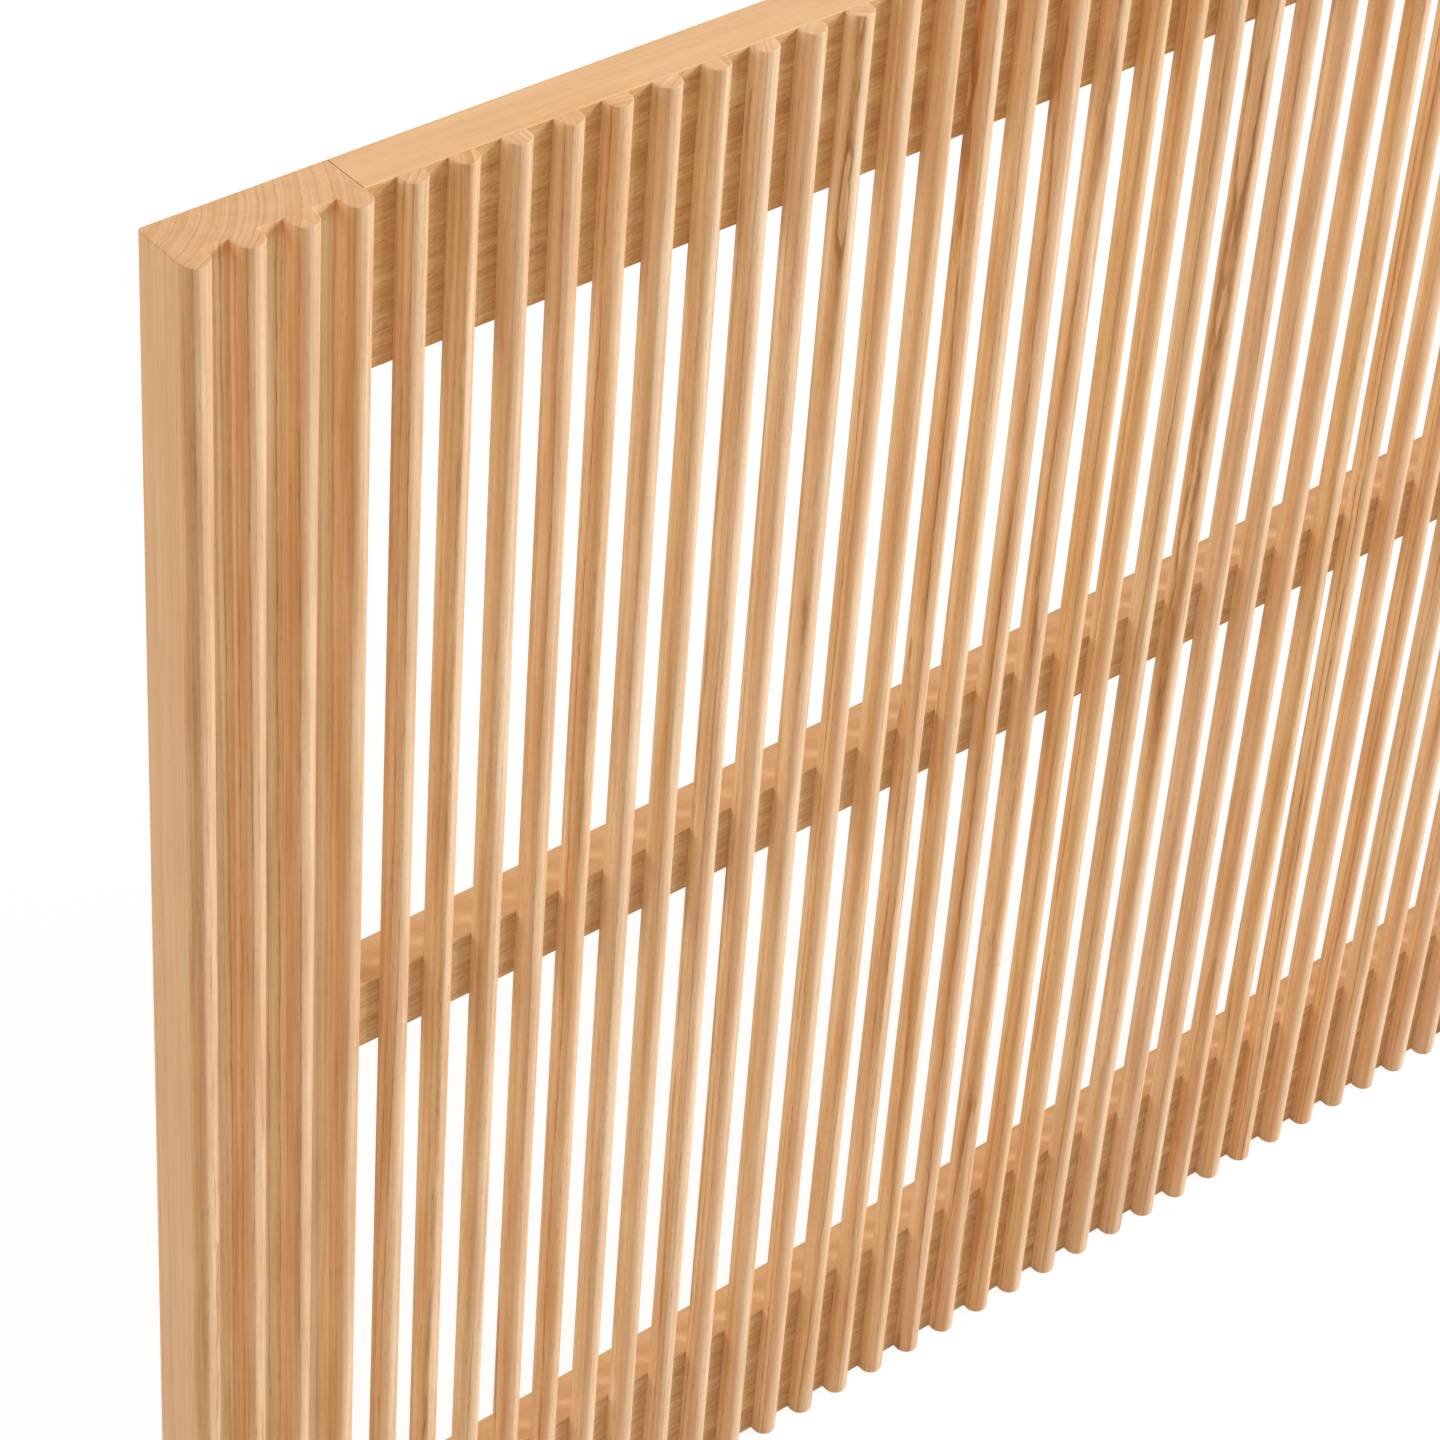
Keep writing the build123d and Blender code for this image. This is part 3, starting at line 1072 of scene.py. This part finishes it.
# %% Sweep one slat
SPINE_POINTS = 22
WELD = 0.01 * MM
head_start = SPINE_POINTS - 1 - RIM_STEPS


def remembered(shape, name, value, **options):
    """The shape with a value kept on it under a name."""
    sockets = {"Geometry": shape, "Name": name, "Value": value}
    return geometry(slat_tree, "StoreNamedAttribute", sockets, **options)


index = geometry(slat_tree, "InputIndex")
foot_turn = times(calc("MINIMUM", calc("DIVIDE", index, RIM_STEPS), 1.0), QUARTER_TURN)
head_share = calc("MAXIMUM", calc("DIVIDE", minus(index, head_start), RIM_STEPS), 0.0)
head_turn = times(head_share, QUARTER_TURN)
middle_share = {"Value": index, "From Min": RIM_STEPS, "From Max": head_start}
middle_share = put(slat_tree, "ShaderNodeMapRange", middle_share).outputs[0]
rise = plus(minus(1.0, calc("COSINE", foot_turn)), calc("SINE", head_turn))
inset = plus(minus(1.0, calc("SINE", foot_turn)), minus(1.0, calc("COSINE", head_turn)))
straight = minus(given["Height"], times(given["Rim"], 2.0))
spine_z = scaled(middle_share, straight, times(given["Rim"], rise))
spine_place = put(slat_tree, "ShaderNodeCombineXYZ", {"Z": spine_z}).outputs[0]
spine = geometry(slat_tree, "MeshLine", {"Count": SPINE_POINTS, "Offset": (0.0, 0.0, MM)})
spine = geometry(slat_tree, "SetPosition", {"Geometry": spine, "Position": spine_place})
spine = geometry(slat_tree, "MeshToCurve", {"Mesh": spine})
ring_scale = minus(1.0, times(calc("DIVIDE", given["Rim"], half_width), inset))
sweep = {"Curve": spine, "Profile Curve": outline, "Scale": ring_scale, "Fill Caps": True}
one_slat = geometry(slat_tree, "CurveToMesh", sweep)
one_slat = geometry(slat_tree, "MergeByDistance", {"Geometry": one_slat, "Distance": WELD})
own_place = geometry(slat_tree, "InputPosition")
one_slat = remembered(one_slat, "grain", own_place, data_type="FLOAT_VECTOR")
print("slat tree, so far:", len(slat_tree.nodes), "nodes")

# %% [markdown]
# ## Forty-two slats, no two alike
# Each slat is sawn from its own place in a trunk, bows a little along its length and stands a hair
# beside its mark. So every copy is thrown six numbers while it is still an instance and has one of
# each. They are kept under names and stay on its points when the copies are made real.

# %% Repeat the slat
marks = {"Count": given["Count"], "Start Location": given["First Place"], "Offset": given["Step"]}
marks = geometry(slat_tree, "MeshLine", marks)
row = geometry(slat_tree, "InstanceOnPoints", {"Points": marks, "Instance": one_slat})
chances = {
    "board": (0.0, 1.0),
    "bow": (times(given["Bow"], -1.0), given["Bow"]),
    "play": (times(given["Play"], -1.0), given["Play"]),
    "pith turn": (0.0, 2 * math.pi),
    "pith distance": (given["Pith Near"], given["Pith Far"]),
    "lean": (times(given["Lean"], -1.0), given["Lean"]),
}
for turn, (name, (low, high)) in enumerate(chances.items()):
    throw = {2: low, 3: high, "Seed": plus(given["Seed"], turn)}
    dice = put(slat_tree, "FunctionNodeRandomValue", throw, data_type="FLOAT")
    row = remembered(row, name, dice.outputs[1], domain="INSTANCE")
real = geometry(slat_tree, "RealizeInstances", {"Geometry": row})
print("numbers on each slat:", len(chances))

# %% [markdown]
# ## Grain and bow
# The numbers now do their work. The grain of a slat is its own place, leant and shifted by the
# pith that it was thrown. The bow pushes its points sideways, most at half the height and not at
# all at the ends. A parabola is simple for that, and close to the curve of a bent strip.

# %% Give each slat its wood and its bow
ARCH = 4.0


def recalled(name, kind="FLOAT"):
    """The value that was kept under a name."""
    return geometry(slat_tree, "InputNamedAttribute", {"Name": name}, data_type=kind)


grain = put(slat_tree, "ShaderNodeSeparateXYZ", {0: recalled("grain", "FLOAT_VECTOR")}).outputs
pith_x = times(calc("COSINE", recalled("pith turn")), recalled("pith distance"))
pith_y = times(calc("SINE", recalled("pith turn")), recalled("pith distance"))
leaning = scaled(grain["Z"], recalled("lean"), grain["X"])
trunk = {"X": plus(leaning, pith_x), "Y": plus(grain["Y"], pith_y), "Z": grain["Z"]}
trunk = put(slat_tree, "ShaderNodeCombineXYZ", trunk).outputs[0]
sawn = remembered(real, "grain", trunk, data_type="FLOAT_VECTOR")
share_up = calc("DIVIDE", place_parts()["Z"], given["Height"])
arch = times(share_up, ARCH, minus(1.0, share_up))
swing = scaled(arch, recalled("bow"), recalled("play"))
sideways = put(slat_tree, "ShaderNodeCombineXYZ", {"X": swing}).outputs[0]
bowed = geometry(slat_tree, "SetPosition", {"Geometry": sawn, "Offset": sideways})
dressed = geometry(slat_tree, "SetMaterial", {"Geometry": bowed, "Material": given["Material"]})
slat_tree.links.new(dressed, result["Geometry"])
print("slat tree:", len(slat_tree.nodes), "nodes")

# %% [markdown]
# ## Growing the row
# The sizes come from the construction boxes, and the rest is chosen like a joiner's tolerance: a
# bow and a play of less than a millimetre, and a pith about a hand's width away. All slats are
# one piece, because they share a finish and never move.

# %% Grow the slats
slat_mesh = grown("slats", slat_tree, {
    "Width": slat_width,
    "Depth": slat_depth,
    "Height": overall_height,
    "Rim": RIM,
    "Back Round": 0.3 * MM,
    "Count": slat_count,
    "First Place": (slat_start, front_plane - slat_depth / 2, 0.0),
    "Step": (slat_pitch, 0.0, 0.0),
    "Bow": 0.9 * MM,
    "Play": 0.6 * MM,
    "Pith Near": 45 * MM,
    "Pith Far": 150 * MM,
    "Lean": 0.012,
    "Seed": 11,
    "Material": slat_wood,
})
smooth_but_for_corners(slat_mesh)
mark_faces(slat_mesh, slat_depth, 2)
slats = new_piece("slats", slat_mesh)
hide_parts(*slat_names)
print("slats:", len(slat_mesh.polygons), "faces", len(slat_mesh.vertices), "points")

# %% [markdown]
# ## Two metals
# The screws are zinc plated steel and the inserts are turned brass. Neither is even: a thin plating
# and a handled brass both have small cloudy patches. One noise drives the colour and the gloss, so
# that a patch differs in both at the same place.

# %% Make the metals
PATCH_SPAN = (0.3, 0.7)


def metal(name, patches, dull, bright, roughness):
    """A metal with cloudy patches; patches is their scale and detail."""
    material, tree, shader = new_material(name)
    place = put(tree, "ShaderNodeTexCoord").outputs["Object"]
    patch = noise(place, *patches)[0]
    tree.links.new(mix_colours(patch, dull, bright), shader.inputs["Base Color"])
    tree.links.new(step_between(patch, *PATCH_SPAN, *roughness), shader.inputs["Roughness"])
    shader.inputs["Metallic"].default_value = 1.0
    return material


zinc = metal(
    "zinc plated steel", (900.0, 3.0), (0.46, 0.45, 0.42, 1.0), (0.70, 0.69, 0.65, 1.0), (0.28, 0.48),
)
brass = metal(
    "turned brass", (420.0, 4.0), (0.52, 0.37, 0.15, 1.0), (0.86, 0.66, 0.33, 1.0), (0.22, 0.42),
)
print("metals:", zinc.name, brass.name)

# %% [markdown]
# ## Screws
# Each slat is held by three countersunk screws, one through each rail. One screw is turned on
# the lathe helper, and its cross recess is cut with two bars. The row tree then repeats it.

# %% Make the screws
SCREW_SIDES = 16
SCREW_RADIUS = 2.0 * MM
SCREW_HEAD_RADIUS = 4.0 * MM
SCREW_HEAD_RIM = 0.3 * MM
SCREW_TIP = 3.0 * MM
RECESS_SPAN = 4.4 * MM
RECESS_WIDTH = 1.1 * MM
RECESS_DEPTH = 1.4 * MM
RECESS_FOOT = 0.6
screw_low, screw_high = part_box("slat_screws")

head = screw_high.y
screw_profile = [
    (0, head),
    (SCREW_HEAD_RADIUS, head),
    (SCREW_HEAD_RADIUS, head - SCREW_HEAD_RIM),
    (SCREW_RADIUS, head - SCREW_HEAD_RIM - (SCREW_HEAD_RADIUS - SCREW_RADIUS)),
    (SCREW_RADIUS, screw_low.y + SCREW_TIP),
    (0, screw_low.y),
]
one_screw = new_piece("one screw", turned("screw", screw_profile, SCREW_SIDES))
slot_corners = ((-1, 1), (1, 1), (1, -1), (-1, -1))
slot_levels = [
    [(x * RECESS_SPAN / 2 * size, y, z * RECESS_WIDTH / 2 * size) for x, z in slot_corners]
    for y, size in ((-RECESS_DEPTH, RECESS_FOOT), (OVERRUN, 1.0))
]
bar = stacked("slot", slot_levels)
crossbar = bar.copy()
crossbar.transform(Matrix.Rotation(QUARTER_TURN, 4, "Y"))
cut(one_screw, joined("first slot", [(bar, (0, head, 0))]))
cut(one_screw, joined("second slot", [(crossbar, (0, head, 0))]))
screw_rows = [row_of("screws", one_screw, level, zinc) for level in screw_levels]
screw_mesh = joined("slat screws", [(mesh, (0, 0, 0)) for mesh in screw_rows])
bpy.data.objects.remove(one_screw)
smooth_but_for_corners(screw_mesh)
screws = new_piece("screws", screw_mesh, zinc)
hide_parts("slat_screws")
print("screws:", len(screw_mesh.polygons), "faces")

# %% [markdown]
# ## Threaded inserts
# The bolts that fix the headboard screw into brass sleeves with a flange. Only the mouth shows, so
# the thread inside is made as fine grooves round the bore, and the barrel stays plain. The profile
# runs round the sleeve's wall and back to its start, and welding the first ring of points to the
# last one closes it.

# %% Make the inserts
BORE_RADIUS = 4.0 * MM
THREAD_DEPTH = 0.5 * MM
THREAD_PITCH = 1.25 * MM
INSERT_SIDES = 36
MOUTH_CHAMFER = 0.6 * MM
FLANGE_CHAMFER = 0.2 * MM
INSERT_WELD = 0.001 * MM

thread_turns = int(barrel_length / THREAD_PITCH) - 1
thread = [
    (BORE_RADIUS + (THREAD_DEPTH if n % 2 else 0), -MOUTH_CHAMFER - n * THREAD_PITCH / 2)
    for n in range(2 * thread_turns)
]
flange_radius = FLANGE_SEAT - SEAT_ROOM
sleeve = [
    (BORE_RADIUS, -barrel_length),
    (BARREL_SEAT - SEAT_ROOM, -barrel_length),
    (BARREL_SEAT - SEAT_ROOM, -FLANGE_THICKNESS),
    (flange_radius, -FLANGE_THICKNESS),
    (flange_radius, -FLANGE_CHAMFER),
    (flange_radius - FLANGE_CHAMFER, 0.0),
    (BORE_RADIUS + MOUTH_CHAMFER, 0.0),
    *thread,
]
insert_shape = turned("insert", sleeve + sleeve[:1], INSERT_SIDES)
insert_places = [(side * insert_x, back_plane, z) for side in (-1, 1) for z in insert_levels]
insert_mesh = joined("inserts", [(insert_shape, place) for place in insert_places])
shape = bmesh.new()
shape.from_mesh(insert_mesh)
bmesh.ops.remove_doubles(shape, verts=shape.verts, dist=INSERT_WELD)
bmesh.ops.recalc_face_normals(shape, faces=shape.faces)
shape.to_mesh(insert_mesh)
shape.free()
smooth_but_for_corners(insert_mesh)
inserts = new_piece("inserts", insert_mesh, brass)
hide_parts("fixing_inserts")
print("inserts:", len(insert_mesh.polygons), "faces")

# %% [markdown]
# ## Dowels
# The beech pegs between rails and stiles are hidden once the frame is glued. Their construction
# shape is right as it is, so the node stays and gets a material. Beech has no strong rings, only
# fine flecks, and the pegs lie along X, so the flecks are stretched that way.

# %% Dress the dowels
BEECH_FLECKS = (60.0, 1400.0, 1400.0)
BEECH_DEEP = (0.62, 0.42, 0.25, 1.0)
BEECH_PALE = (0.80, 0.61, 0.42, 1.0)

beech, tree, shader = new_material("beech")
place = put(tree, "ShaderNodeTexCoord").outputs["Object"]
fleck = noise(vector_calc("MULTIPLY", place, BEECH_FLECKS), 1.0, 3.0)[0]
tree.links.new(mix_colours(fleck, BEECH_DEEP, BEECH_PALE), shader.inputs["Base Color"])
shader.inputs["Roughness"].default_value = 0.6
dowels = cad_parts["rail_dowels"]
dowels.data.materials.clear()
dowels.data.materials.append(beech)
print("dowels dressed in", beech.name)

# %% [markdown]
# ## Riding on the frame
# Nothing moves on a headboard, so every piece rides on the one body. The list also pairs each
# piece with a slot name for its finish, which nothing here stores.

# %% Attach the pieces
finishes = [(piece, "frame_wood") for piece in stiles + rails]
finishes += [(slats, "slat_wood"), (screws, "screw_steel"), (inserts, "insert_brass")]
for piece, slot in finishes:
    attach(piece, BODY)
print("pieces:", [piece.name for piece, _ in finishes])

# %% [markdown]
# ## The studio
# The photograph has a pure white ground with hardly a shadow. The floor is pale and matt for the
# light that it throws back up. For the camera, most of its white is its own, so that the shadow
# stays but is faint. The world does the same: it is white to the camera and in reflections, and a
# soft warm light for the object, which fills the grooves.

# %% Lay the floor and light the world
FLOOR_HALF = 14.0
FLOOR_GLOW = 0.9
FLOOR_SEEN = (0.14, 0.14, 0.14, 1.0)
FLOOR_PALE = (0.60, 0.60, 0.60, 1.0)
WORLD_LIGHT = 0.56
WORLD_TINT = (1.0, 0.85, 0.60, 1.0)
WHITE = (1.0, 1.0, 1.0, 1.0)


def plain_rays(tree):
    """1 for the camera and for rays that show a reflection or a view through, else 0."""
    path = put(tree, "ShaderNodeLightPath").outputs
    seen = calc("MAXIMUM", path["Is Camera Ray"], path["Is Glossy Ray"])
    return calc("MAXIMUM", seen, path["Is Transmission Ray"])


floor_mesh = bpy.data.meshes.new("floor")
floor_corners = [(x * FLOOR_HALF, y * FLOOR_HALF, 0) for x, y in ((-1, -1), (1, -1), (1, 1), (-1, 1))]
floor_mesh.from_pydata(floor_corners, [], [(0, 1, 2, 3)])
floor_material, tree, shader = new_material("studio floor")
seen = plain_rays(tree)
tree.links.new(mix_colours(seen, FLOOR_PALE, FLOOR_SEEN), shader.inputs["Base Color"])
tree.links.new(times(seen, FLOOR_GLOW), shader.inputs["Emission Strength"])
shader.inputs["Emission Color"].default_value = WHITE
shader.inputs["Roughness"].default_value = 1.0
shader.inputs["Specular IOR Level"].default_value = 0.0
floor = new_piece("floor", floor_mesh, floor_material)

world = bpy.data.worlds.new("studio")
world.use_nodes = True
bpy.context.scene.world = world
tree = world.node_tree
backdrop = next(n for n in tree.nodes if n.type == "BACKGROUND")
seen = plain_rays(tree)
tree.links.new(mix_colours(seen, WORLD_TINT, WHITE), backdrop.inputs["Color"])
tree.links.new(scaled(seen, 1.0 - WORLD_LIGHT, WORLD_LIGHT), backdrop.inputs["Strength"])
print("floor and world ready")

# %% [markdown]
# ## The lamps
# The bright strips run down the right side of every nose and the left flanks are dark, so the main
# lamp, a slightly cool one, stands well to the right, in front and above. The flat left side of
# the stile is fairly bright too, though it faces away from that lamp, so a second, weaker one
# stands behind on the left. Both are large, for soft edges. A lamp's power is worked out from the
# light that it should give at the object, so that moving it doesn't change the exposure.

# %% Set the lamps
TARGET = Vector((-0.45, 0.0, 0.75))


def lamp(name, bearing, elevation, distance, size, light, tint):
    """A square soft lamp; its bearing is counted from the front, to the right."""
    turn, rise = math.radians(bearing), math.radians(elevation)
    direction = Vector((math.sin(turn) * math.cos(rise), -math.cos(turn) * math.cos(rise), math.sin(rise)))
    data = bpy.data.lights.new(name, "AREA")
    data.size = size
    data.energy = light * math.pi ** 2 * distance ** 2
    data.color = tint
    made = bpy.data.objects.new(name, data)
    facing = direction.to_track_quat("Z", "Y").to_matrix().to_4x4()
    made.matrix_world = Matrix.Translation(TARGET + direction * distance) @ facing
    bpy.context.scene.collection.objects.link(made)
    return made


main_lamp = lamp(
    "main lamp", bearing=56.5, elevation=25.0, distance=12.0, size=4.6, light=0.85, tint=(0.87, 1.0, 1.14),
)
side_lamp = lamp(
    "side lamp", bearing=-132.0, elevation=24.0, distance=5.0, size=2.4, light=0.27, tint=(1.0, 0.96, 0.92),
)
bpy.context.scene.view_settings.view_transform = "Standard"
print("lamp power", round(main_lamp.data.energy), round(side_lamp.data.energy))
